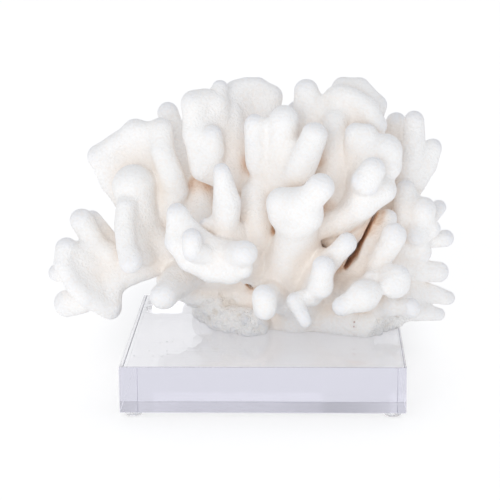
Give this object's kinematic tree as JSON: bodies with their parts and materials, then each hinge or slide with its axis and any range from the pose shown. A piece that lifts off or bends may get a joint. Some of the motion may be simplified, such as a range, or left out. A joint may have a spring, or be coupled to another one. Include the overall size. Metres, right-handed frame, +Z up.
{
  "type": "branching coral on a clear block",
  "caption": "Dried white branching coral with flattened, finger-edged lobes, glued upright to a clear block that stands on small clear bumper feet as a display piece.",
  "frame": {"origin": "middle of the whole object's footprint, on the surface that the bumper feet stand on", "axes": "+Z up, +Y to the back, +X to the right as seen from the front, square to the block's sides"},
  "size_m": [0.2292, 0.157, 0.1685],
  "materials": {
    "coral": "matte",
    "clear_acrylic": "gloss",
    "clear_bumper": "satin"
  },
  "bodies": {
    "root": {"holdfast": "coral", "left_arm": "coral", "left_tip_fan": "coral", "left_blade": "coral", "left_rear_finger": "coral", "top_left_blade": "coral", "centre_lobe": "coral", "front_left_finger": "coral", "front_left_fan": "coral", "front_centre_lobe": "coral", "top_right_blade": "coral", "right_blade": "coral", "right_fingers": "coral", "right_low_branch": "coral", "right_foot_branch": "coral", "right_front_branch": "coral", "front_low_branch": "coral", "front_stub": "coral", "rear_left_branch": "coral", "rear_centre_blade": "coral", "rear_right_branch": "coral", "rear_low_branch": "coral", "acrylic_block": "clear_acrylic", "foot_front_left": "clear_bumper", "foot_front_right": "clear_bumper", "foot_back_left": "clear_bumper", "foot_back_right": "clear_bumper"}
  },
  "joints": []
}
